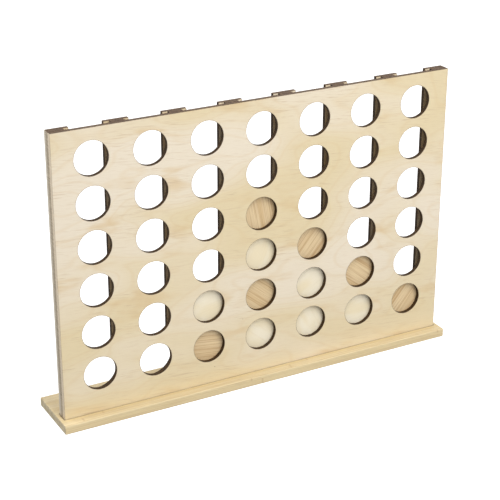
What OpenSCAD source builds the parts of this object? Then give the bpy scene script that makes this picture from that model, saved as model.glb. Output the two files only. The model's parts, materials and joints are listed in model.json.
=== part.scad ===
// Four in a row frame with its discs. Three thin wooden layers make a frame with seven
// columns: a front sheet with round view holes, upright strips that part the columns, and
// a slotted back sheet. The frame stands in a groove in a plank, and twelve discs lie in it.
// Millimetres. +X runs along the frame, +Y to its back and +Z up. The origin is at the
// middle of the base's underside.

/* [Grid] */
// Distance from one column's middle to the next
column_pitch = 53.7; // [50:0.1:60]
// Distance from one row's middle to the next
row_pitch = 40; // [36:0.5:42]
// Diameter of the view holes in the front sheet
view_hole_d = 31.2; // [24:0.1:34]

/* [Discs] */
// Gap between one disc and the next in a column
disc_gap = 0.3; // [0.2:0.05:0.6]
// Play between a disc's face and the sheet beside it
face_play = 0.35; // [0.3:0.05:0.6]
// Play between a disc's rim and the strip beside it
rim_play = 0.75; // [0.4:0.05:1.5]

/* [Frame] */
// Thickness of the front sheet
front_t = 4; // [3:0.1:5]
// Thickness of the spacer strips, which is the depth of the columns
channel_t = 4.4; // [4.4:0.1:6]
// Thickness of the back sheet
back_t = 3.6; // [3:0.1:5]
// Distance from an outer column's middle to the frame's side
side_margin = 35.5; // [30:0.5:45]
// Distance from the top row's middle to the frame's top
top_margin = 27; // [22:0.5:40]
// Height of the bottom rail above the base
rail_h = 17.4; // [10:0.1:30]
// Width of the slots in the back sheet
slot_w = 30.7; // [24:0.1:34]
// Gap around a disc in the round opening at the foot of a slot
release_gap = 0.65; // [0.4:0.05:2]

/* [Base] */
// How far the base reaches past each side of the frame
end_overhang = 4.4; // [2:0.1:20]
// How far the base reaches out in front of the frame
front_overhang = 11.6; // [6:0.1:30]
// How far the base reaches out behind the frame
rear_overhang = 36.4; // [20:0.1:60]
// Thickness of the base
base_t = 8.5; // [8:0.5:16]
// Radius of the base's softened edges
edge_r = 1; // [0.5:0.25:3]
// Depth of the groove that the frame stands in
groove_depth = 4.5; // [3:0.25:5]
// Play between the frame's foot and each wall of the groove
groove_play = 0.3; // [0.3:0.05:0.6]

/* [Hidden] */

// The game always has seven columns, and six rows counted from the top
columns = 7;
rows = 6;
middle_column = (columns + 1) / 2;

disc_d = row_pitch - disc_gap;
disc_t = channel_t - 2 * face_play;
channel_w = disc_d + 2 * rim_play;
strip_w = column_pitch - channel_w;
release_d = disc_d + 2 * release_gap;

frame_w = (columns - 1) * column_pitch + 2 * side_margin;
frame_t = front_t + channel_t + back_t;
base_l = frame_w + 2 * end_overhang;
base_d = front_overhang + frame_t + rear_overhang;

// Faces of the layers, from the front to the back
front_y = front_overhang - base_d / 2;
channel_y = front_y + front_t;
back_y = channel_y + channel_t;

// Levels, from the bottom to the top
foot_z = base_t - groove_depth;
rail_top = base_t + rail_h;
frame_top = row_z(1) + top_margin;
frame_h = frame_top - foot_z;

// How far a cut runs past the face that it opens
past = 1;
round_sides = 96;

birch = "#E6D4B2";
bamboo = "#E0C490";
light_wood = "#F0E2C6";
tan_wood = "#D9B987";

// Middle of a column, counted from the left
function column_x(column) = (column - middle_column) * column_pitch;

// Middle of a row, counted from the top
function row_z(row) = rail_top + row_pitch / 2 + (rows - row) * row_pitch;

// A round bar along +Y, from the front of a layer to its back
module round_bar(diameter, column, row, y, length) {
    translate([column_x(column), y, row_z(row)])
        rotate([-90, 0, 0])
            cylinder(d = diameter, h = length, $fn = round_sides);
}

// A flat rectangle with round corners, centred on the origin
module round_rectangle(width, height, radius) {
    square([width - 2 * radius, height], center = true);
    square([width, height - 2 * radius], center = true);
    for (x = [-1, 1], y = [-1, 1])
        translate([x * (width / 2 - radius), y * (height / 2 - radius)])
            circle(r = radius, $fn = round_sides);
}

module base_plate() {
    groove_l = frame_w + 2 * groove_play;
    groove_w = frame_t + 2 * groove_play;
    color(bamboo)
        difference() {
            intersection() {
                linear_extrude(base_t)
                    round_rectangle(base_l, base_d, edge_r);
                translate([-base_l / 2, 0, base_t / 2])
                    rotate([90, 0, 90])
                        linear_extrude(base_l)
                            round_rectangle(base_d, base_t, edge_r);
            }
            translate([-groove_l / 2, front_y - groove_play, foot_z])
                cube([groove_l, groove_w, groove_depth + past]);
        }
}

module front_panel() {
    color(birch)
        difference() {
            translate([-frame_w / 2, front_y, foot_z])
                cube([frame_w, front_t, frame_h]);
            for (column = [1:columns], row = [1:rows])
                round_bar(view_hole_d, column, row, front_y - past, front_t + 2 * past);
        }
}

// The slots are narrower than a disc, so they hold it in. The opening at the foot of each
// is wider, so the lowest disc can be pushed out through it.
module back_panel() {
    color(birch)
        difference() {
            translate([-frame_w / 2, back_y, foot_z])
                cube([frame_w, back_t, frame_h]);
            for (column = [1:columns]) {
                translate([column_x(column) - slot_w / 2, back_y - past, row_z(rows)])
                    cube([slot_w, back_t + 2 * past, frame_h]);
                round_bar(release_d, column, rows, back_y - past, back_t + 2 * past);
            }
        }
}

module bottom_rail() {
    color(birch)
        translate([-frame_w / 2, channel_y, foot_z])
            cube([frame_w, channel_t, rail_top - foot_z]);
}

// An upright strip between the two sheets, from one side to the other
module upright_strip(left_x, right_x) {
    color(birch)
        translate([left_x, channel_y, rail_top])
            cube([right_x - left_x, channel_t, frame_top - rail_top]);
}

// The strip between this column and the next
module strip_after(column) {
    left_x = column_x(column) + channel_w / 2;
    upright_strip(left_x, left_x + strip_w);
}

module disc(column, row, shade) {
    color(shade)
        round_bar(disc_d, column, row, channel_y + face_play, disc_t);
}

base_plate();
front_panel();
back_panel();
bottom_rail();
upright_strip(-frame_w / 2, column_x(1) - channel_w / 2);  // left_end_strip
strip_after(1);  // strip_1
strip_after(2);  // strip_2
strip_after(3);  // strip_3
strip_after(4);  // strip_4
strip_after(5);  // strip_5
strip_after(6);  // strip_6
upright_strip(column_x(columns) + channel_w / 2, frame_w / 2);  // right_end_strip
disc(3, 6, tan_wood);  // tan_disc_column3_row6
disc(3, 5, light_wood);  // light_disc_column3_row5
disc(4, 6, light_wood);  // light_disc_column4_row6
disc(4, 5, tan_wood);  // tan_disc_column4_row5
disc(4, 4, light_wood);  // light_disc_column4_row4
disc(4, 3, tan_wood);  // tan_disc_column4_row3
disc(5, 6, light_wood);  // light_disc_column5_row6
disc(5, 5, light_wood);  // light_disc_column5_row5
disc(5, 4, tan_wood);  // tan_disc_column5_row4
disc(6, 6, light_wood);  // light_disc_column6_row6
disc(6, 5, tan_wood);  // tan_disc_column6_row5
disc(7, 6, tan_wood);  // tan_disc_column7_row6
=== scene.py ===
# %% [markdown]
# # A wooden four in a row frame
#
# The real game is made of thin wooden sheet, cut by a laser. A front sheet with round view holes, a
# row of upright strips and a slotted back sheet are glued into a flat frame with seven columns. The
# frame stands in the groove of a bamboo plank, and round discs lie in its columns. The CAD model has
# every piece as a plain solid. Here each piece is made again with Blender's own modelling operators,
# so that its edges can be eased a little and its cut faces can have a finish of their own.

# %% Load the frame
import json
import math

import bmesh
import bpy
from mathutils import Matrix, Vector


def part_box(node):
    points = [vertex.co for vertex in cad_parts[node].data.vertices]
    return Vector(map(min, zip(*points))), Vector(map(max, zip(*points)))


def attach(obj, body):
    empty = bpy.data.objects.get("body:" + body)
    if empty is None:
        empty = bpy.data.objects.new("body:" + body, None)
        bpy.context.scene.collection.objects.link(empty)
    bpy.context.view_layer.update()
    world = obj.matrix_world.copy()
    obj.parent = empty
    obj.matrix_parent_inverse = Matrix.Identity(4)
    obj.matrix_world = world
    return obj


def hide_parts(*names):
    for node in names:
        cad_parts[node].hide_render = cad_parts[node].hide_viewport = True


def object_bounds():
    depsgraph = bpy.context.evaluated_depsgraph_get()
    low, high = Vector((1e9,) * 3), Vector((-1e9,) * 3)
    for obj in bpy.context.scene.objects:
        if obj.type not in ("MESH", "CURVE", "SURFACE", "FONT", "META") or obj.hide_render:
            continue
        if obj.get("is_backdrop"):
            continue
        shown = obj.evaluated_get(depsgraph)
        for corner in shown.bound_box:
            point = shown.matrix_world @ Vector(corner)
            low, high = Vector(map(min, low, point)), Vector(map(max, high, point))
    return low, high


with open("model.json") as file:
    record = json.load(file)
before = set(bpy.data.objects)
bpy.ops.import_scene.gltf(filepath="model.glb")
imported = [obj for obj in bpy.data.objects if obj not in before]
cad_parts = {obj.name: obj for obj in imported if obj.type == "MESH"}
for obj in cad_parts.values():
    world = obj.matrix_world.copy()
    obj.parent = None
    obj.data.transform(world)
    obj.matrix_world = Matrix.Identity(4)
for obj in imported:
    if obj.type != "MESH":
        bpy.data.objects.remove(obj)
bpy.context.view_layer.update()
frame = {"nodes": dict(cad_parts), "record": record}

# %% [markdown]
# ## Sizes that come from the frame
#
# Nothing is measured twice. The CAD nodes say where each sheet, strip and disc is, so the positions
# of the holes follow from the discs: a disc's middle is a hole's middle. Lengths are in metres.

# %% Read the sizes
MM = 0.001
COLUMNS = 7
ROWS = 6

front_low, front_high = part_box("front_panel")
back_low, back_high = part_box("back_panel")
rail_low, rail_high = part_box("bottom_rail")
base_low, base_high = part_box("base_plate")
disc_low, disc_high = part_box("tan_disc_column7_row6")

disc_nodes = sorted(name for name in frame["nodes"] if "_disc_" in name)
strip_nodes = sorted(name for name in frame["nodes"] if "strip" in name)
print(len(disc_nodes), "discs and", len(strip_nodes), "strips")

# %% Columns and rows
disc_radius = (disc_high.x - disc_low.x) / 2
last_disc = (disc_low + disc_high) / 2
upper_low, upper_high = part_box("light_disc_column3_row5")
column_pitch = last_disc.x / ((COLUMNS - 1) / 2)
row_pitch = (upper_low.z + upper_high.z) / 2 - last_disc.z


def hole_centre(column, row, y):
    """The middle of a view hole. Columns count from the left, and rows count from the top."""
    x = (column - (COLUMNS + 1) / 2) * column_pitch
    return Vector((x, y, last_disc.z + (ROWS - row) * row_pitch))


print(f"column pitch {column_pitch / MM:.1f} mm, row pitch {row_pitch / MM:.1f} mm")
print(f"disc diameter {2 * disc_radius / MM:.1f} mm")

# %% [markdown]
# ## The camera
#
# A long lens a little above the table and to the left shows the front, the left side and the top of
# the base at once. The camera is placed by the way it looks, as a photographer would say it: how far
# round, how high, how far away, and at which point it aims. It comes first, so that every later
# piece can be judged in the same view.

# %% Place the camera
CAMERA_ROUND = math.radians(28.75)
CAMERA_HIGH = math.radians(23.48)
CAMERA_TILT = math.radians(0.15)
CAMERA_AWAY = 1.3067
CAMERA_LENS = 104.6
CAMERA_SENSOR = 36
AIM_LEFT = 11.8 * MM
AIM_BELOW_MIDDLE = 13.05 * MM

grid_middle_z = last_disc.z + (ROWS - 1) / 2 * row_pitch
aim = Vector((-AIM_LEFT, front_low.y, grid_middle_z - AIM_BELOW_MIDDLE))
look = Vector((
    math.sin(CAMERA_ROUND) * math.cos(CAMERA_HIGH),
    math.cos(CAMERA_ROUND) * math.cos(CAMERA_HIGH),
    -math.sin(CAMERA_HIGH),
))
lens = bpy.data.cameras.new("camera")
lens.lens = CAMERA_LENS
lens.sensor_width = CAMERA_SENSOR
camera = bpy.data.objects.new("camera", lens)
bpy.context.scene.collection.objects.link(camera)
camera.matrix_world = (
    Matrix.Translation(aim - look * CAMERA_AWAY)
    @ look.to_track_quat("-Z", "Y").to_matrix().to_4x4()
    @ Matrix.Rotation(CAMERA_TILT, 4, "Z")
)
bpy.context.scene.camera = camera
bpy.context.scene.view_settings.view_transform = "Standard"
print("camera at", [round(v, 3) for v in camera.location])

# %% [markdown]
# ## Helpers for nodes
#
# A material is a small graph of nodes. Making one takes three steps again and again: add a node, set
# its sockets and link it. These helpers do that in one line each. A value given for a socket is
# either a constant, which is stored on the socket, or another node's output, which is linked.

# %% Helper: colours
GAMMA_KNEE = 0.04045
GAMMA_SLOPE = 12.92
GAMMA_OFFSET = 0.055
GAMMA_POWER = 2.4


def rgb(red, green, blue):
    """A colour given as the usual 0 to 255 values, as the linear values that Blender computes with."""
    def linear(value):
        value /= 255
        if value <= GAMMA_KNEE:
            return value / GAMMA_SLOPE
        return ((value + GAMMA_OFFSET) / (1 + GAMMA_OFFSET)) ** GAMMA_POWER
    return (linear(red), linear(green), linear(blue), 1.0)


print("half grey is", round(rgb(128, 128, 128)[0], 3), "of white's light")


# %% Helpers: one node each
def add(tree, kind, inputs=(), **settings):
    """Adds a node, sets its settings, and fills its input sockets, given by name or by number."""
    node = tree.nodes.new(kind)
    for name, value in settings.items():
        setattr(node, name, value)
    for socket, value in dict(inputs).items():
        if isinstance(value, bpy.types.NodeSocket):
            tree.links.new(value, node.inputs[socket])
        else:
            node.inputs[socket].default_value = value
    return node


def math_node(tree, operation, *values):
    """One step of arithmetic."""
    return add(tree, "ShaderNodeMath", dict(enumerate(values)), operation=operation).outputs[0]


def spread(tree, value, low, high, to_low=0.0, to_high=1.0):
    """Stretches the range low to high of a value over the range to_low to to_high, and clamps it."""
    places = {0: value, 1: low, 2: high, 3: to_low, 4: to_high}
    return add(tree, "ShaderNodeMapRange", places, interpolation_type="SMOOTHSTEP").outputs[0]


def blend_colours(tree, amount, first, second):
    """Goes from the first colour to the second as the amount goes from 0 to 1."""
    places = {0: amount, 6: first, 7: second}
    return add(tree, "ShaderNodeMix", places, data_type="RGBA").outputs[2]


print("helpers for single nodes are ready")


# %% Helpers: one colour over another
def lay_over(tree, colour, second, mask, low, high, most=1.0):
    """Lays a second colour over the first where a mask rises from low to high, up to a share."""
    return blend_colours(tree, spread(tree, mask, low, high, to_high=most), colour, second)


def lay_share(tree, colour, second, mask, share):
    """Lays a share of a second colour over the first, where a mask is 1."""
    return blend_colours(tree, math_node(tree, "MULTIPLY", mask, share), colour, second)


print("helpers for layers of colour are ready")

# %% Helpers: groups
NUMBER = "NodeSocketFloat"
COLOUR = "NodeSocketColor"
VECTOR = "NodeSocketVector"


def new_group(name, inputs, outputs):
    """A shader node group with named sockets. Returns its tree, its input node and its output node."""
    tree = bpy.data.node_groups.new(name, "ShaderNodeTree")
    for direction, sockets in (("INPUT", inputs), ("OUTPUT", outputs)):
        for socket, kind in sockets.items():
            tree.interface.new_socket(name=socket, in_out=direction, socket_type=kind)
    return tree, tree.nodes.new("NodeGroupInput"), tree.nodes.new("NodeGroupOutput")


def give(tree, group_out, **values):
    """Links values to a group's named outputs."""
    for socket, value in values.items():
        tree.links.new(value, group_out.inputs[socket])
    print("group:", tree.name)


def use_group(tree, group, **inputs):
    """Places a group in another tree and fills its named inputs."""
    return add(tree, "ShaderNodeGroup", inputs, node_tree=group)


print("helpers for groups are ready")

# %% Helpers: materials
WOOD_SPECULAR = 0.3


def new_material(name):
    """An empty material with a Principled shader. Returns the material, its tree and the shader."""
    material = bpy.data.materials.new(name)
    material.use_nodes = True
    tree = material.node_tree
    return material, tree, tree.nodes["Principled BSDF"]


def finish_material(tree, shader, colour, roughness, height, depth):
    """Feeds the shader with a colour, a roughness and a bump of a depth in metres."""
    bump = add(tree, "ShaderNodeBump", {"Height": height, "Distance": depth, "Strength": 1.0})
    tree.links.new(colour, shader.inputs["Base Color"])
    tree.links.new(roughness, shader.inputs["Roughness"])
    tree.links.new(bump.outputs["Normal"], shader.inputs["Normal"])
    shader.inputs["Specular IOR Level"].default_value = WOOD_SPECULAR


print("helpers for materials are ready")

# %% [markdown]
# ## Grain
#
# Wood is long cells that all run one way. A noise that is stretched along them gives grain at any
# scale, from broad blotches to single fibres. Every finish here uses it several times, so it is a
# node group with named sockets, built once and placed with other values each time.

# %% Group: grain
BEND_SCALE = (9.0, 30.0, 30.0)
GRAIN_ROUGHNESS = 0.55
grain_group, grain_in, grain_out = new_group(
    "grain",
    {"Vector": VECTOR, "Along": NUMBER, "Across": NUMBER, "Detail": NUMBER, "Bend": NUMBER},
    {"Value": NUMBER},
)
grain_at = grain_in.outputs["Vector"]
bend_at = add(grain_group, "ShaderNodeMapping", {"Vector": grain_at, "Scale": BEND_SCALE}).outputs[0]
bend_noise = add(grain_group, "ShaderNodeTexNoise", {"Vector": bend_at, "Scale": 1.0, "Detail": 1.0})
bend = math_node(grain_group, "SUBTRACT", bend_noise.outputs[0], 0.5)
bend = math_node(grain_group, "MULTIPLY", bend, grain_in.outputs["Bend"])
parts = add(grain_group, "ShaderNodeSeparateXYZ", {0: grain_at})
across_y = math_node(grain_group, "ADD", parts.outputs[1], bend)
across_z = math_node(grain_group, "ADD", parts.outputs[2], bend)
stretched = add(grain_group, "ShaderNodeCombineXYZ", {
    0: math_node(grain_group, "MULTIPLY", parts.outputs[0], grain_in.outputs["Along"]),
    1: math_node(grain_group, "MULTIPLY", across_y, grain_in.outputs["Across"]),
    2: math_node(grain_group, "MULTIPLY", across_z, grain_in.outputs["Across"]),
})
noise = add(grain_group, "ShaderNodeTexNoise", {
    "Vector": stretched.outputs[0], "Scale": 1.0,
    "Detail": grain_in.outputs["Detail"], "Roughness": GRAIN_ROUGHNESS,
})
give(grain_group, grain_out, Value=noise.outputs[0])


# %% Helper: several grains at one place
def grains(tree, place, sizes):
    """Places the grain group once for each entry of sizes. Returns their values by name."""
    return {name: use_group(tree, grain_group, Vector=place, **size).outputs["Value"]
            for name, size in sizes.items()}


print("grain can be placed in any tree")

# %% [markdown]
# ## Soot and painted shade
#
# The laser leaves a line of soot beside each cut. A mesh carries an attribute that is 1 on the cut
# and falls to 0 in about a millimetre, so the line follows every hole exactly. The group blends a
# share of a darker colour over the wood. Sheets and discs use it for soot, and the plank uses it for
# a line of painted shade beside its groove.

# %% Group: soot and painted shade
soot_and_shade_group, soot_and_shade_in, soot_and_shade_out = new_group(
    "soot_and_shade",
    {"Colour": COLOUR, "Stain": COLOUR, "Mask": NUMBER, "Share": NUMBER},
    {"Colour": COLOUR},
)
darkened = lay_share(soot_and_shade_group, soot_and_shade_in.outputs["Colour"], soot_and_shade_in.outputs["Stain"],
                    soot_and_shade_in.outputs["Mask"], soot_and_shade_in.outputs["Share"])
give(soot_and_shade_group, soot_and_shade_out, Colour=darkened)


def add_soot_and_shade(tree, colour, overlay, share):
    """Lays soot, or on the plank painted shade, over a colour where the mesh's attribute marks it."""
    mask = add(tree, "ShaderNodeAttribute", attribute_name="soot_and_shade").outputs["Fac"]
    darkening = use_group(tree, soot_and_shade_group, Colour=colour, Stain=overlay, Mask=mask, Share=share)
    return darkening.outputs["Colour"]


# %% [markdown]
# ## Sheet face
#
# The sheet's outer ply is peeled off a turning log, so it is pale and fine-grained, with faint curved
# lines where the blade crossed the year rings. The grain lies nearly along the frame, in bunches of
# short fine streaks over broad warm and cool patches, with a tiny dark fleck here and there. The two
# sheets differ only in their colours and in the part of the pattern they show.

# %% Group: sheet wood, its grain
SHEET_GRAINS = {
    "tint": {"Along": 5.0, "Across": 11.0, "Detail": 2.0, "Bend": 0.02},
    "cloud": {"Along": 15.0, "Across": 48.0, "Detail": 3.0, "Bend": 0.02},
    "bunch": {"Along": 13.0, "Across": 42.0, "Detail": 1.0, "Bend": 0.01},
    "streaks": {"Along": 55.0, "Across": 900.0, "Detail": 3.0, "Bend": 0.006},
    "fibres": {"Along": 110.0, "Across": 2600.0, "Detail": 2.0, "Bend": 0.0},
}
RING_LINES = 20.0
FLECK_SCALE = 20.0
sheet_group, sheet_in, sheet_out = new_group(
    "sheet_wood",
    {"Vector": VECTOR, "Pale": COLOUR, "Warm": COLOUR, "Amber": COLOUR, "Streak": COLOUR},
    {"Colour": COLOUR, "Roughness": NUMBER, "Height": NUMBER},
)
sheet_at = sheet_in.outputs["Vector"]
wood = grains(sheet_group, sheet_at, SHEET_GRAINS)
flecks = add(sheet_group, "ShaderNodeTexVoronoi", {"Vector": sheet_at, "Scale": FLECK_SCALE}, feature="F1")
rings = math_node(sheet_group, "PINGPONG", math_node(sheet_group, "MULTIPLY", wood["tint"], RING_LINES), 0.5)
bunches = spread(sheet_group, wood["bunch"], low=0.42, high=0.66, to_low=0.12, to_high=0.60)
streaky = spread(sheet_group, wood["streaks"], low=0.52, high=0.74)
bunched = math_node(sheet_group, "MULTIPLY", bunches, streaky)
print("sheet grain:", ", ".join(wood))

# %% Group: sheet wood, its colours
FLECK_COLOUR = rgb(126, 98, 68)
FLECK_CORE = 0.006
FLECK_EDGE = 0.014
pale = sheet_in.outputs["Pale"]
warm = sheet_in.outputs["Warm"]
amber = sheet_in.outputs["Amber"]
streak = sheet_in.outputs["Streak"]
colour = lay_over(sheet_group, pale, warm, wood["tint"], low=0.36, high=0.64)
colour = lay_over(sheet_group, colour, amber, wood["cloud"], low=0.54, high=0.74, most=0.55)
colour = lay_over(sheet_group, colour, amber, rings, low=0.30, high=0.50, most=0.16)
colour = blend_colours(sheet_group, bunched, colour, streak)
colour = lay_over(sheet_group, colour, streak, wood["fibres"], low=0.45, high=0.80, most=0.20)
fleck = spread(sheet_group, flecks.outputs["Distance"], FLECK_CORE, FLECK_EDGE, to_low=0.55, to_high=0.0)
colour = blend_colours(sheet_group, fleck, colour, FLECK_COLOUR)
half_streaks = math_node(sheet_group, "MULTIPLY", wood["streaks"], 0.5)
half_fibres = math_node(sheet_group, "MULTIPLY", wood["fibres"], 0.5)
give(
    sheet_group, sheet_out, Colour=colour,
    Roughness=spread(sheet_group, wood["streaks"], low=0.3, high=0.8, to_low=0.50, to_high=0.66),
    Height=math_node(sheet_group, "ADD", half_streaks, half_fibres),
)

# %% [markdown]
# ## Sheet materials
#
# The front sheet and the back sheet each get the sheet wood with their own colours. The back sheet's
# front face inside the columns gets a third material with painted shade: it is darkened brown down in
# the columns and pale again at their open top, where light reaches it.

# %% Material: sheet face
SHEET_TURN = math.radians(-6)
SHEET_DEEP = 0.06 * MM
# Laser soot beside the cuts, and also the colour of the painted shade inside the columns.
SOOT_AND_SHADE_COLOUR = rgb(96, 74, 52)
SOOT_SHARE = 0.52
# Painted shade inside the columns is full below this first height and gone above the second.
PAINTED_SHADE_FULL = front_high.z - 14 * MM
PAINTED_SHADE_ENDS = front_high.z - 3 * MM


def sheet_face(name, colours, shift, column_shade=0.0):
    """A pale sheet with its grain along X. The shift moves the pattern, so two sheets differ.
    The last argument is how much painted shade darkens the sheet inside the columns, and it fades out at
    their top."""
    material, tree, shader = new_material(name)
    place = add(tree, "ShaderNodeTexCoord").outputs["Object"]
    turned = {"Vector": place, "Location": shift, "Rotation": (0.0, SHEET_TURN, 0.0)}
    moved = add(tree, "ShaderNodeMapping", turned).outputs[0]
    sheet = use_group(tree, sheet_group, Vector=moved, **colours)
    colour = add_soot_and_shade(tree, sheet.outputs["Colour"], SOOT_AND_SHADE_COLOUR, SOOT_SHARE)
    # Painted shade: inside the columns the face is darkened, and it fades out near their open top.
    if column_shade:
        up = add(tree, "ShaderNodeSeparateXYZ", {0: place}).outputs[2]
        painted_shade_amount = spread(tree, up, PAINTED_SHADE_FULL, PAINTED_SHADE_ENDS, to_low=column_shade, to_high=0.0)
        colour = blend_colours(tree, painted_shade_amount, colour, SOOT_AND_SHADE_COLOUR)
    finish_material(tree, shader, colour, sheet.outputs["Roughness"], sheet.outputs["Height"], SHEET_DEEP)
    print("made", material.name)
    return material


# Prints where the painted shade inside the columns fades out.
print(f"the smoke fades from {PAINTED_SHADE_FULL / MM:.0f} to {PAINTED_SHADE_ENDS / MM:.0f} mm above the table")

# %% Materials: front and back sheet
FRONT_COLOURS = {
    "Pale": rgb(238, 226, 205), "Warm": rgb(230, 213, 175),
    "Amber": rgb(218, 188, 137), "Streak": rgb(202, 176, 140),
}
BACK_COLOURS = {
    "Pale": rgb(236, 223, 200), "Warm": rgb(229, 210, 175),
    "Amber": rgb(214, 182, 134), "Streak": rgb(198, 172, 136),
}
front_face = sheet_face("birch_front", FRONT_COLOURS, shift=(6.89, 0.0, 2.0))
inner_face = sheet_face("birch_back", BACK_COLOURS, shift=(1.9, 0.0, 2.4))
# The back sheet's face inside the columns, with painted shade.
painted_shade_face = sheet_face("birch_painted_shade", BACK_COLOURS, shift=(2.9, 0.0, 1.1), column_shade=0.5)

# %% [markdown]
# ## Plies
#
# Sheet is three plies glued crosswise, and a cut shows them as bands, with a dark line of glue at
# each seam. The group turns the depth into the sheet, along Y, into a mask for the middle ply and a
# mask for the glue.

# %% Group: plies
GLUE_SHARE = 0.09
ply_group, ply_in, ply_out = new_group(
    "plies",
    {"Vector": VECTOR, "Ply": NUMBER, "Start": NUMBER},
    {"Core": NUMBER, "Glue": NUMBER},
)
depth_y = add(ply_group, "ShaderNodeSeparateXYZ", {0: ply_in.outputs["Vector"]}).outputs[1]
from_start = math_node(ply_group, "SUBTRACT", depth_y, ply_in.outputs["Start"])
ply_count = math_node(ply_group, "DIVIDE", from_start, ply_in.outputs["Ply"])
core = math_node(ply_group, "PINGPONG", math_node(ply_group, "FLOOR", ply_count), 1.0)
to_seam = math_node(ply_group, "PINGPONG", math_node(ply_group, "FRACT", ply_count), 0.5)
give(ply_group, ply_out, Core=core, Glue=spread(ply_group, to_seam, 0.0, GLUE_SHARE, to_low=1.0, to_high=0.0))

# %% [markdown]
# ## Cut edges
#
# A laser burns its way through the sheet, so the walls of the holes and slots are nearly black, with
# brown ridges that run through the thickness and a slightly paler middle ply. The frame's two outer
# sides were sanded after the layers were glued, so there the plies show as pale and brown bands. The
# top is between the two, a smoky brown. All of them are one group with other colours. The strips'
# scorched walls are darker than the sheets': part char, part painted shade deep inside the columns.

# %% Group: cut edge
EDGE_GRAINS = {
    "ridges": {"Along": 120.0, "Across": 900.0, "Detail": 2.0, "Bend": 0.0},
    "smears": {"Along": 60.0, "Across": 60.0, "Detail": 2.0, "Bend": 0.0},
}
THROUGH_SHEET = (0.0, 0.0, math.radians(90))
GLUE_STRENGTH = 0.75
GLUE_SUNK = 0.4
edge_group, edge_in, edge_out = new_group(
    "cut_edge",
    {"Vector": VECTOR, "Ply": NUMBER, "Start": NUMBER, "Dark": COLOUR, "Light": COLOUR,
     "Core": COLOUR, "Glue": COLOUR, "Share": NUMBER},
    {"Colour": COLOUR, "Roughness": NUMBER, "Height": NUMBER},
)
edge_at = edge_in.outputs["Vector"]
dark = edge_in.outputs["Dark"]
plies = use_group(edge_group, ply_group, Vector=edge_at, Ply=edge_in.outputs["Ply"],
                  Start=edge_in.outputs["Start"])
turned = add(edge_group, "ShaderNodeMapping", {"Vector": edge_at, "Rotation": THROUGH_SHEET}).outputs[0]
burn = grains(edge_group, turned, EDGE_GRAINS)
colour = lay_over(edge_group, dark, edge_in.outputs["Light"], burn["ridges"], low=0.35, high=0.70)
colour = lay_share(edge_group, colour, edge_in.outputs["Core"], plies.outputs["Core"],
                   edge_in.outputs["Share"])
colour = lay_share(edge_group, colour, edge_in.outputs["Glue"], plies.outputs["Glue"], GLUE_STRENGTH)
colour = lay_over(edge_group, colour, dark, burn["smears"], low=0.50, high=0.75, most=0.45)
sunk = math_node(edge_group, "MULTIPLY", plies.outputs["Glue"], GLUE_SUNK)
give(
    edge_group, edge_out, Colour=colour,
    Roughness=spread(edge_group, burn["ridges"], low=0.2, high=0.8, to_low=0.62, to_high=0.85),
    Height=math_node(edge_group, "SUBTRACT", burn["ridges"], sunk),
)

# %% Material: cut edge
PLIES = 3
EDGE_DEEP = 0.10 * MM
EDGE_SOCKETS = ("Dark", "Light", "Core", "Glue", "Share")


def cut_edge(name, low, high, look):
    """The edge of a sheet between low and high. The look has a value for each of EDGE_SOCKETS."""
    material, tree, shader = new_material(name)
    place = add(tree, "ShaderNodeTexCoord").outputs["Object"]
    ply = (high.y - low.y) / PLIES
    values = dict(zip(EDGE_SOCKETS, look))
    edge = use_group(tree, edge_group, Vector=place, Ply=ply, Start=low.y, **values)
    finish_material(tree, shader, edge.outputs["Colour"], edge.outputs["Roughness"],
                    edge.outputs["Height"], EDGE_DEEP)
    print(f"made {name}, with {PLIES} plies of {ply / MM:.2f} mm")
    return material


print("a cut edge shows", PLIES, "plies")

# %% Materials: edges of each layer
SCORCHED_AND_CORE_SHADE = {
    "front": (rgb(48, 33, 15), rgb(82, 57, 27), rgb(94, 68, 36), rgb(28, 19, 10), 0.35),
    # The strips' walls are darker than the sheets' char: part char, part painted shade deep in the columns.
    "core": (rgb(27, 21, 15), rgb(46, 37, 28), rgb(46, 38, 29), rgb(19, 14, 10), 0.30),
    "back": (rgb(42, 31, 19), rgb(68, 51, 33), rgb(76, 58, 38), rgb(27, 19, 12), 0.35),
}
SANDED = {
    "front": (rgb(218, 203, 178), rgb(238, 224, 200), rgb(226, 211, 186), rgb(190, 173, 148), 0.50),
    "core": (rgb(162, 148, 128), rgb(200, 186, 164), rgb(188, 174, 150), rgb(120, 104, 86), 0.60),
    "back": (rgb(206, 197, 181), rgb(230, 221, 205), rgb(214, 205, 187), rgb(136, 125, 108), 0.50),
}
SMOKED = (rgb(84, 66, 52), rgb(116, 95, 76), rgb(128, 106, 84), rgb(58, 44, 34), 0.45)


def layer_edges(layer, low, high):
    """The three finishes of a layer's edges: scorched inside, sanded at the sides, smoked on top."""
    looks = {"scorched": SCORCHED_AND_CORE_SHADE[layer], "sanded": SANDED[layer], "smoked": SMOKED}
    return [cut_edge(f"{kind}_{layer}_edge", low, high, look) for kind, look in looks.items()]


front_edges = layer_edges("front", front_low, front_high)
core_edges = layer_edges("core", rail_low, rail_high)
back_edges = layer_edges("back", back_low, back_high)
scorched_disc = cut_edge("scorched_disc_rim", disc_low, disc_high, SCORCHED_AND_CORE_SHADE["front"])

# %% [markdown]
# ## Bamboo
#
# The plank and half of the discs are bamboo board, glued from narrow strips. Each strip has its own
# tone, its fibres, and a knuckle where the cane had a joint. The plank's strips lie along it, so it
# reads its Object coordinates. Each disc was cut from the board at some angle, so its strips run any
# way: the disc's mesh gets a UV map whose first axis follows the grain, and one material serves all.

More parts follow.
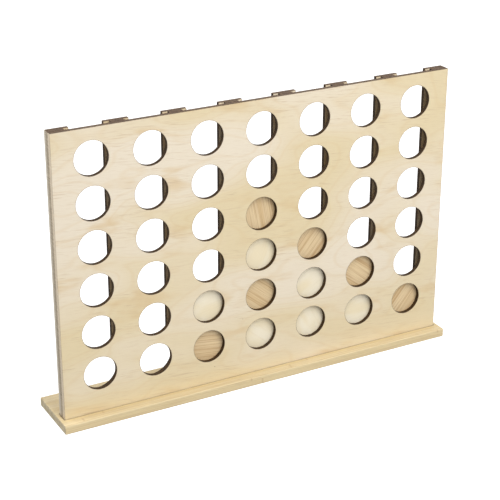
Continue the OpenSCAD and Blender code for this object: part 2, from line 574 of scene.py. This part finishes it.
# %% Group: bamboo strips
SEAM_W = 0.25 * MM
KNUCKLE_W = 1.6 * MM
LAYER_STEP = 17.0
KNUCKLE_STEP = 7.3
strip_group, strip_in, strip_out = new_group(
    "bamboo_strips",
    {"Vector": VECTOR, "Width": NUMBER, "Knuckles": NUMBER},
    {"Place": VECTOR, "Tone": NUMBER, "Seam": NUMBER, "Knuckle": NUMBER},
)
place = add(strip_group, "ShaderNodeSeparateXYZ", {0: strip_in.outputs["Vector"]})
width = strip_in.outputs["Width"]
number = math_node(strip_group, "FLOOR", math_node(strip_group, "DIVIDE", place.outputs[1], width))
layer = math_node(strip_group, "FLOOR", math_node(strip_group, "DIVIDE", place.outputs[2], width))
strip_id = math_node(strip_group, "ADD", number, math_node(strip_group, "MULTIPLY", layer, LAYER_STEP))
tone = add(strip_group, "ShaderNodeTexWhiteNoise", {"W": strip_id}, noise_dimensions="1D").outputs[0]
half_width = math_node(strip_group, "MULTIPLY", width, 0.5)
to_seam = math_node(strip_group, "PINGPONG", place.outputs[1], half_width)
shifted = add(strip_group, "ShaderNodeCombineXYZ", {
    0: math_node(strip_group, "ADD", place.outputs[0], tone), 1: place.outputs[1], 2: place.outputs[2],
})
half_way = math_node(strip_group, "MULTIPLY", strip_in.outputs["Knuckles"], 0.5)
own_step = math_node(strip_group, "MULTIPLY", tone, KNUCKLE_STEP)
knuckle_at = math_node(strip_group, "ADD", place.outputs[0], own_step)
to_knuckle = math_node(strip_group, "PINGPONG", knuckle_at, half_way)
give(
    strip_group, strip_out, Place=shifted.outputs[0], Tone=tone,
    Seam=spread(strip_group, to_seam, 0.0, SEAM_W, to_low=1.0, to_high=0.0),
    Knuckle=spread(strip_group, to_knuckle, 0.0, KNUCKLE_W, to_low=1.0, to_high=0.0),
)

# %% Group: bamboo board
BAMBOO_GRAINS = {
    "fibre": {"Along": 25.0, "Across": 1700.0, "Detail": 3.0, "Bend": 0.0006},
    "line": {"Along": 9.0, "Across": 760.0, "Detail": 3.0, "Bend": 0.0015},
}
board_group, board_in, board_out = new_group(
    "bamboo_board",
    {"Vector": VECTOR, "Width": NUMBER, "Knuckles": NUMBER, "Pale": COLOUR, "Deep": COLOUR,
     "Dark": COLOUR, "Line": NUMBER, "Seam": NUMBER, "Knuckle": NUMBER},
    {"Colour": COLOUR, "Roughness": NUMBER, "Height": NUMBER},
)
strips = use_group(board_group, strip_group, Vector=board_in.outputs["Vector"],
                   Width=board_in.outputs["Width"], Knuckles=board_in.outputs["Knuckles"])
cane = grains(board_group, strips.outputs["Place"], BAMBOO_GRAINS)
dark = board_in.outputs["Dark"]
masks = {
    "Line": spread(board_group, cane["line"], low=0.51, high=0.63),
    "Seam": strips.outputs["Seam"], "Knuckle": strips.outputs["Knuckle"],
}
pale = board_in.outputs["Pale"]
deep = board_in.outputs["Deep"]
colour = blend_colours(board_group, strips.outputs["Tone"], pale, deep)
colour = lay_over(board_group, colour, dark, cane["fibre"], low=0.42, high=0.72, most=0.40)
for socket, mask in masks.items():
    colour = lay_share(board_group, colour, dark, mask, board_in.outputs[socket])
half_seam = math_node(board_group, "MULTIPLY", strips.outputs["Seam"], 0.5)
give(
    board_group, board_out, Colour=colour,
    Roughness=spread(board_group, cane["fibre"], low=0.3, high=0.8, to_low=0.42, to_high=0.60),
    Height=math_node(board_group, "SUBTRACT", cane["fibre"], half_seam),
)

# %% Materials: bamboo
BAMBOO_DEEP = 0.06 * MM
# On the plank this colour is painted shade beside the groove; on the discs it is soot at the rim.
BAMBOO_SOOT_AND_SHADE = rgb(96, 66, 38)
BAMBOO_SOOT_AND_SHADE_SHARE = 0.65
PLANK_BOARD = {
    "Width": 5.8 * MM, "Knuckles": 0.21,
    "Pale": rgb(234, 217, 178), "Deep": rgb(225, 204, 157), "Dark": rgb(190, 158, 112),
    "Line": 0.22, "Seam": 0.30, "Knuckle": 0.40,
}
DISC_BOARD = {
    "Width": 4.4 * MM, "Knuckles": 0.16,
    "Pale": rgb(234, 211, 170), "Deep": rgb(222, 194, 148), "Dark": rgb(176, 134, 88),
    "Line": 0.42, "Seam": 0.20, "Knuckle": 0.0,
}


def bamboo(name, coordinates, values):
    """Bamboo board. The coordinates are Object or UV, and the strips lie along their first axis."""
    material, tree, shader = new_material(name)
    place = add(tree, "ShaderNodeTexCoord").outputs[coordinates]
    board = use_group(tree, board_group, Vector=place, **values)
    colour = add_soot_and_shade(tree, board.outputs["Colour"], BAMBOO_SOOT_AND_SHADE, BAMBOO_SOOT_AND_SHADE_SHARE)
    finish_material(tree, shader, colour, board.outputs["Roughness"], board.outputs["Height"], BAMBOO_DEEP)
    print("made", material.name)
    return material


plank_bamboo = bamboo("bamboo_plank", "Object", PLANK_BOARD)
disc_bamboo = bamboo("bamboo_disc", "UV", DISC_BOARD)

# %% [markdown]
# ## Bamboo end and light wood
#
# Two finishes are used once, so their nodes stay in the material. The plank's ends show the cane's
# cut fibre bundles as fine dots, which are the cells of a Voronoi texture. The other discs are a
# plain light wood with hardly any figure.

# %% Material: bamboo end
BUNDLE_SCALE = 1100.0
END_GRAIN = {"shade": {"Along": 60.0, "Across": 170.0, "Detail": 2.0, "Bend": 0.0}}
END_DEEP = 0.08 * MM
bamboo_end, tree, shader = new_material("bamboo_end")
place = add(tree, "ShaderNodeTexCoord").outputs["Object"]
cells = add(tree, "ShaderNodeTexVoronoi", {"Vector": place, "Scale": BUNDLE_SCALE}, feature="F1")
bundles = cells.outputs["Distance"]
shade = grains(tree, place, END_GRAIN)["shade"]
colour = lay_over(tree, rgb(212, 199, 168), rgb(190, 176, 146), shade, low=0.35, high=0.65)
bundle_dots = spread(tree, bundles, low=0.15, high=0.45, to_low=0.50, to_high=0.0)
colour = blend_colours(tree, bundle_dots, colour, rgb(138, 118, 90))
roughness = spread(tree, shade, low=0.3, high=0.7, to_low=0.60, to_high=0.75)
finish_material(tree, shader, colour, roughness, bundles, END_DEEP)
print("made", bamboo_end.name)

# %% Material: light wood
LIGHT_GRAINS = {
    "cloud": {"Along": 25.0, "Across": 60.0, "Detail": 2.0, "Bend": 0.01},
    "lines": {"Along": 30.0, "Across": 620.0, "Detail": 3.0, "Bend": 0.002},
    "pores": {"Along": 500.0, "Across": 3200.0, "Detail": 1.0, "Bend": 0.0},
}
LIGHT_SOOT = rgb(96, 70, 46)
LIGHT_SOOT_SHARE = 0.5
LIGHT_DEEP = 0.04 * MM
light_wood, tree, shader = new_material("light_wood_disc")
place = add(tree, "ShaderNodeTexCoord").outputs["UV"]
figure = grains(tree, place, LIGHT_GRAINS)
colour = lay_over(tree, rgb(248, 238, 214), rgb(243, 229, 196), figure["cloud"], low=0.35, high=0.65)
colour = lay_over(tree, colour, rgb(226, 207, 173), figure["lines"], low=0.50, high=0.80, most=0.25)
colour = lay_over(tree, colour, rgb(200, 174, 134), figure["pores"], low=0.60, high=0.80, most=0.18)
colour = add_soot_and_shade(tree, colour, LIGHT_SOOT, LIGHT_SOOT_SHARE)
roughness = spread(tree, figure["lines"], low=0.3, high=0.8, to_low=0.45, to_high=0.60)
finish_material(tree, shader, colour, roughness, figure["lines"], LIGHT_DEEP)
print("made", light_wood.name)

# %% [markdown]
# ## How a sheet piece is made
#
# Every wooden piece but the plank is a flat outline cut from sheet, so the same few steps make them
# all. They start from faces that fill the outline. An inset draws the line where the soot ends.
# Extruding the faces gives the thickness. The sharp edges then get a very small bevel, because a real
# cut is never a perfect corner, and that is what catches the light.

# %% Helpers: from an outline to a solid
SOOT_W = 0.7 * MM
EASE = 0.15 * MM
EASE_STEPS = 2
CORNER = math.radians(60)
ROUND_STEPS = 96
TO_FRONT = Matrix.Rotation(math.radians(90), 4, "X")


def rectangle(bm, low, high):
    """Four vertices and the edges between them, at the front of the box from low to high."""
    corners = [bm.verts.new((x, low.y, z)) for x, z in
               ((low.x, low.z), (high.x, low.z), (high.x, high.z), (low.x, high.z))]
    return [bm.edges.new((corners[i - 1], corners[i])) for i in range(len(corners))]


def push(bm, geom, distance):
    """Moves the vertices of what an extrusion made."""
    moved = [part for part in geom if isinstance(part, bmesh.types.BMVert)]
    bmesh.ops.translate(bm, verts=moved, vec=distance)


def give_thickness(bm, thickness):
    """Turns a flat sheet of faces into a solid, by extruding it backwards."""
    bmesh.ops.inset_region(bm, faces=bm.faces[:], thickness=SOOT_W, use_boundary=True, use_even_offset=True)
    extruded = bmesh.ops.extrude_face_region(bm, geom=bm.faces[:])
    push(bm, extruded["geom"], (0, thickness, 0))
    bmesh.ops.recalc_face_normals(bm, faces=bm.faces[:])


def ease_edges(bm, size):
    """Bevels every sharp edge."""
    sharp = [edge for edge in bm.edges if edge.is_manifold and edge.calc_face_angle() > CORNER]
    bmesh.ops.bevel(bm, geom=sharp, offset=size, offset_type="OFFSET", segments=EASE_STEPS, profile=0.5,
                    affect="EDGES", material=-1, loop_slide=False, clamp_overlap=True)


print(f"edges are eased by {EASE / MM:.2f} mm, and soot ends {SOOT_W / MM:.1f} mm from a cut")

# %% [markdown]
# ## Which finish a face gets
#
# Each face is told by where it points and where it is whether it is the sheet's face, a scorched cut,
# a sanded side or the smoky top. A piece's materials are listed in that order. The back sheet has one
# more, for its face inside the columns with painted shade. The vertices of the burnt faces get soot.

# %% Helpers: finish of each face
FLAT = 0.99
# The last index is the face with painted shade inside the columns.
FACE, SCORCH, SAND, SMOKE, PAINTED_SHADE = 0, 1, 2, 3, 4


def cut_kind(face):
    """Which of the finishes a face gets, from where it points and where it is."""
    if abs(face.normal.y) > FLAT:
        return FACE
    at = face.calc_center_median()
    if abs(at.x) > front_high.x - EASE:
        return SAND
    if at.z > front_high.z - EASE:
        return SMOKE
    return SCORCH


def mark_faces(bm):
    """Gives each face its material and shading, and writes the soot attribute on the vertices."""
    soot_and_shade = bm.verts.layers.float.new("soot_and_shade")
    for face in bm.faces:
        face.material_index = cut_kind(face)
        face.smooth = face.material_index != FACE
    for vert in bm.verts:
        vert[soot_and_shade] = float(any(face.material_index in (SCORCH, SMOKE) for face in vert.link_faces))


# The last finish is the back sheet's face with painted shade inside the columns.
print("finishes in order: face, scorched, sanded, smoked, stained")


# %% Helper: put a piece in the scene
def make_piece(node, bm, materials):
    """Puts a mesh in the scene in place of a CAD node, on the node's own body."""
    mesh = bpy.data.meshes.new(node + "_wood")
    bm.to_mesh(mesh)
    bm.free()
    for material in materials:
        mesh.materials.append(material)
    piece = bpy.data.objects.new(node + "_wood", mesh)
    bpy.context.scene.collection.objects.link(piece)
    body = next(name for name, nodes in frame["record"]["behaviour"]["bodies"].items() if node in nodes)
    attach(piece, body)
    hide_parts(node)
    print(f"{piece.name}: {len(mesh.polygons)} faces on {body}")


print("pieces take the place of CAD nodes")

# %% [markdown]
# ## Front sheet
#
# The front sheet is a rectangle with a grid of round holes. The rectangle and the circles are drawn
# as edges, and a triangle fill finds the faces between them and leaves the circles open. That takes
# far less than cutting each hole out of a solid.

# %% Front sheet
HOLE_RADIUS = 15.6 * MM
bm = bmesh.new()
rectangle(bm, front_low, front_high)
for column in range(1, COLUMNS + 1):
    for row in range(1, ROWS + 1):
        hole_at = Matrix.Translation(hole_centre(column, row, front_low.y)) @ TO_FRONT
        bmesh.ops.create_circle(bm, cap_ends=False, radius=HOLE_RADIUS, segments=ROUND_STEPS, matrix=hole_at)
bmesh.ops.triangle_fill(bm, edges=bm.edges[:], use_beauty=True, use_dissolve=False, normal=(0, -1, 0))
give_thickness(bm, front_high.y - front_low.y)
ease_edges(bm, EASE)
mark_faces(bm)
make_piece("front_panel", bm, [front_face, *front_edges])

# %% [markdown]
# ## Back sheet
#
# The back sheet is a comb. Each slot goes straight down and ends in a round opening that is a little
# wider than a disc. The round part is one vertex that is spun about the opening's middle, from the
# slot's left side round the bottom to its right side. Edges then join the ends of neighbouring arcs
# over the top, and one fill makes the faces inside the outline. Last, the face that looks into the
# columns gets the material with painted shade.

# %% Back sheet: the outline
SLOT_W = 30.7 * MM
RELEASE_GAP = 0.65 * MM
ARC_STEPS = 72
release_radius = disc_radius + RELEASE_GAP
slot_angle = math.asin(SLOT_W / 2 / release_radius)
bm = bmesh.new()
first_foot = bm.verts.new((back_low.x, back_low.y, back_low.z))
last = bm.verts.new((back_low.x, back_low.y, back_high.z))
bm.edges.new((first_foot, last))
for column in range(1, COLUMNS + 1):
    centre = hole_centre(column, ROWS, back_low.y)
    join_z = centre.z + release_radius * math.cos(slot_angle)
    top_left = bm.verts.new((centre.x - SLOT_W / 2, back_low.y, back_high.z))
    join = bm.verts.new((centre.x - SLOT_W / 2, back_low.y, join_z))
    bm.edges.new((last, top_left))
    bm.edges.new((top_left, join))
    arc = bmesh.ops.spin(bm, geom=[join], cent=centre, axis=(0, -1, 0), angle=2 * (math.pi - slot_angle),
                         steps=ARC_STEPS, use_merge=False)
    arc_end = next(part for part in arc["geom_last"] if isinstance(part, bmesh.types.BMVert))
    last = bm.verts.new((centre.x + SLOT_W / 2, back_low.y, back_high.z))
    bm.edges.new((arc_end, last))
print(f"{COLUMNS} slots of {SLOT_W / MM:.1f} mm, with openings of {2 * release_radius / MM:.1f} mm")

# %% Back sheet
corner_top = bm.verts.new((back_high.x, back_low.y, back_high.z))
corner_foot = bm.verts.new((back_high.x, back_low.y, back_low.z))
for pair in ((last, corner_top), (corner_top, corner_foot), (corner_foot, first_foot)):
    bm.edges.new(pair)
bmesh.ops.triangle_fill(bm, edges=bm.edges[:], use_beauty=True, use_dissolve=False, normal=(0, -1, 0))
give_thickness(bm, back_high.y - back_low.y)
ease_edges(bm, EASE)
mark_faces(bm)
# The face that looks into the columns gets the material with painted shade.
for face in bm.faces:
    if face.normal.y < -FLAT:
        face.material_index = PAINTED_SHADE
make_piece("back_panel", bm, [inner_face, *back_edges, painted_shade_face])

# %% [markdown]
# ## Strips and rail
#
# The upright strips part the columns, and the rail under them carries the discs. All nine are
# straight lengths of a slightly thicker sheet, so each is a rectangle with a thickness.

# %% Strips and rail
for node in [*strip_nodes, "bottom_rail"]:
    low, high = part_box(node)
    bm = bmesh.new()
    bmesh.ops.edgeloop_fill(bm, edges=rectangle(bm, low, high))
    give_thickness(bm, high.y - low.y)
    ease_edges(bm, EASE)
    mark_faces(bm)
    make_piece(node, bm, [inner_face, *core_edges])

# %% [markdown]
# ## Discs
#
# A disc is a circle with a thickness and a rim that was rubbed smooth, so its bevel is larger. Its
# UV map turns the grain: the first axis follows the strips, and an offset per disc picks another
# spot of the board, so that no two discs look alike.

# %% Discs: how the grain lies
GRAIN_TURN = {
    "tan_disc_column3_row6": -8, "tan_disc_column4_row5": -40, "tan_disc_column4_row3": -80,
    "tan_disc_column5_row4": 50, "tan_disc_column6_row5": -38, "tan_disc_column7_row6": 50,
    "light_disc_column3_row5": 12, "light_disc_column4_row4": 70, "light_disc_column4_row6": -40,
    "light_disc_column5_row5": 25, "light_disc_column5_row6": -65, "light_disc_column6_row6": 5,
}
BOARD_STEP = Vector((0.137, 0.0711))


def map_grain(bm, centre, degrees, offset):
    """Writes a UV map whose first axis lies at an angle on the disc, shifted by an offset."""
    turn = Matrix.Rotation(math.radians(-degrees), 2)
    grain_map = bm.loops.layers.uv.new("grain")
    for face in bm.faces:
        for loop in face.loops:
            across_disc = Vector((loop.vert.co.x - centre.x, loop.vert.co.z - centre.z))
            loop[grain_map].uv = turn @ across_disc + offset


print(len(GRAIN_TURN), "discs have a grain angle")

# %% Discs
RIM_EASE = 0.4 * MM
DISC_FACES = {"tan": disc_bamboo, "light": light_wood}
for order, node in enumerate(disc_nodes):
    low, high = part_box(node)
    centre = (low + high) / 2
    disc_at = Matrix.Translation((centre.x, low.y, centre.z)) @ TO_FRONT
    shade = node.split("_")[0]
    bm = bmesh.new()
    bmesh.ops.create_circle(bm, cap_ends=True, radius=disc_radius, segments=ROUND_STEPS, matrix=disc_at)
    give_thickness(bm, high.y - low.y)
    ease_edges(bm, RIM_EASE)
    mark_faces(bm)
    map_grain(bm, centre, GRAIN_TURN[node], BOARD_STEP * order)
    make_piece(node, bm, [DISC_FACES[shade], scorched_disc])

# %% [markdown]
# ## Plank
#
# The plank starts as a cube of the base's size, and a bevel of one millimetre rounds its edges. Cuts
# through it mark out the groove on its top, and the face between them is pushed down. The groove's
# own edges are only broken, as a router leaves them. A thin line of painted shade lies beside the
# groove, out to the outer pair of cuts, set by the same attribute as the soot. The ends show the
# cane's cut fibre bundles as fine dots, so they have a finish of their own.

# %% Plank: a rounded block with lines for the groove
PLANK_ROUND = 1.0 * MM
PLANK_STEPS = 4
GROOVE_PLAY = 0.3 * MM
# How far the painted shade beside the groove reaches.
GROOVE_SHADE_W = Vector((1.2 * MM, 1.2 * MM, 0.0))
groove_low = Vector((front_low.x - GROOVE_PLAY, front_low.y - GROOVE_PLAY, front_low.z))
groove_high = Vector((front_high.x + GROOVE_PLAY, back_high.y + GROOVE_PLAY, base_high.z))
plank_middle = Matrix.Translation((base_low + base_high) / 2)
plank_size = Matrix.Diagonal((*(base_high - base_low), 1))
bm = bmesh.new()
bmesh.ops.create_cube(bm, size=1.0, matrix=plank_middle @ plank_size)
bmesh.ops.bevel(bm, geom=bm.edges[:], offset=PLANK_ROUND, offset_type="OFFSET", segments=PLANK_STEPS,
                profile=0.5, affect="EDGES", material=-1)
for point in (groove_low - GROOVE_SHADE_W, groove_low, groove_high, groove_high + GROOVE_SHADE_W):
    for normal in ((1, 0, 0), (0, 1, 0)):
        everything = bm.verts[:] + bm.edges[:] + bm.faces[:]
        bmesh.ops.bisect_plane(bm, geom=everything, plane_co=point, plane_no=normal)
print("plank block:", len(bm.faces), "faces")


# %% Plank: the groove
def in_groove(face):
    """True for the part of the top that the groove takes away."""
    at = face.calc_center_median()
    inside = groove_low.x < at.x < groove_high.x and groove_low.y < at.y < groove_high.y
    return inside and face.normal.z > FLAT


floor_faces = [face for face in bm.faces if in_groove(face)]
pushed = bmesh.ops.extrude_face_region(bm, geom=floor_faces)
push(bm, pushed["geom"], (0, 0, groove_low.z - groove_high.z))
left_over = [face for face in floor_faces if face.is_valid]
bmesh.ops.delete(bm, geom=left_over, context="FACES_ONLY")
bmesh.ops.recalc_face_normals(bm, faces=bm.faces[:])
ease_edges(bm, EASE)
print(f"groove: {(groove_high.z - groove_low.z) / MM:.1f} mm deep")

# %% Plank: painted shade by the groove, and finishes
END_TURN = 0.7
reach = 2 * EASE
# Painted shade: the top's vertices at the groove are marked, so a thin dark line fades out beside it.
soot_and_shade = bm.verts.layers.float.new("soot_and_shade")
for vert in bm.verts:
    in_length = groove_low.x - reach < vert.co.x < groove_high.x + reach
    in_width = groove_low.y - reach < vert.co.y < groove_high.y + reach
    vert[soot_and_shade] = float(in_length and in_width and vert.co.z > groove_high.z - reach)
for face in bm.faces:
    face.smooth = max(abs(part) for part in face.normal) < FLAT
    face.material_index = int(abs(face.normal.x) > END_TURN)
make_piece("base_plate", bm, [plank_bamboo, bamboo_end])

# %% [markdown]
# ## Table
#
# The table is a plain pale plane. It would throw light up into the columns, so it is mid grey, and it
# only glows white for the camera: the Light Path node tells a camera ray from a bounce. It doesn't
# belong to the object, so it is marked as stage.

# %% Table
TABLE_HALF = 12.0
TABLE_GLOW = 1.0
TABLE_MOTTLE = 3.0
TABLE_DARK = (0.40, 0.40, 0.40, 1)
TABLE_PALE = (0.43, 0.43, 0.43, 1)
TABLE_ROUGHNESS = 0.9
TABLE_SPECULAR = 0.1
WHITE = (1, 1, 1, 1)
bm = bmesh.new()
bmesh.ops.create_grid(bm, x_segments=1, y_segments=1, size=TABLE_HALF)
mesh = bpy.data.meshes.new("table")
bm.to_mesh(mesh)
bm.free()
table_material, tree, shader = new_material("pale_table")
place = add(tree, "ShaderNodeTexCoord").outputs["Object"]
mottle = add(tree, "ShaderNodeTexNoise", {"Vector": place, "Scale": TABLE_MOTTLE}).outputs[0]
table_colour = blend_colours(tree, mottle, TABLE_DARK, TABLE_PALE)
seen = add(tree, "ShaderNodeLightPath").outputs["Is Camera Ray"]
tree.links.new(table_colour, shader.inputs["Base Color"])
tree.links.new(math_node(tree, "MULTIPLY", seen, TABLE_GLOW), shader.inputs["Emission Strength"])
shader.inputs["Emission Color"].default_value = WHITE
shader.inputs["Roughness"].default_value = TABLE_ROUGHNESS
shader.inputs["Specular IOR Level"].default_value = TABLE_SPECULAR
mesh.materials.append(table_material)
table = bpy.data.objects.new("table", mesh)
bpy.context.scene.collection.objects.link(table)
table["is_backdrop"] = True
print("table:", round(table.dimensions.x, 1), "m wide")

# %% [markdown]
# ## Lights
#
# A large soft light stands high in front, a little to the right, so the front is lit evenly and the
# shadow that a hole's rim throws on its disc is narrow and soft. A small one over the front edge
# makes the top of the plank brighter than its side. A weaker one at the left picks out the layers on
# the frame's side, and a weak one behind keeps the back readable. A dim white world fills the rest,
# and like the table it only looks bright to the camera, so the room is white from any height.

# %% Lights
LIGHTS = {
    "key": {"place": (0.50, -1.88, 1.42), "power": 36.5, "size": 2.0},
    "top": {"place": (0.10, -0.85, 1.75), "power": 9, "size": 0.6},
    "fill": {"place": (-1.75, 0.85, 1.40), "power": 26, "size": 1.5},
    "rear": {"place": (0.90, 1.70, 1.60), "power": 12, "size": 1.6},
}


def soft_light(name, place, power, size):
    """A square light that is aimed at the object."""
    lamp = bpy.data.lights.new(name, "AREA")
    lamp.shape = "SQUARE"
    lamp.energy = power
    lamp.size = size
    light = bpy.data.objects.new(name, lamp)
    light.location = place
    light.rotation_euler = (aim - Vector(place)).to_track_quat("-Z", "Y").to_euler()
    bpy.context.scene.collection.objects.link(light)
    print(name, "light:", power, "W")


for name, settings in LIGHTS.items():
    soft_light(name, **settings)

# %% World
WORLD_STRENGTH = 0.36
WORLD_SEEN = 1.0
world = bpy.data.worlds.new("studio")
world.use_nodes = True
backdrop = world.node_tree.nodes["Background"]
backdrop.inputs["Color"].default_value = WHITE
seen = add(world.node_tree, "ShaderNodeLightPath").outputs["Is Camera Ray"]
strength = spread(world.node_tree, seen, 0.0, 1.0, WORLD_STRENGTH, WORLD_SEEN)
world.node_tree.links.new(strength, backdrop.inputs["Strength"])
bpy.context.scene.world = world
print("world:", WORLD_STRENGTH, "for bounces and", WORLD_SEEN, "for the camera")

# %% [markdown]
# ## Finish
#
# The size of the box around the visual model is printed.

# %% Finish
low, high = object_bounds()
print("visual box", [round(v / MM, 2) for v in high - low], "mm")
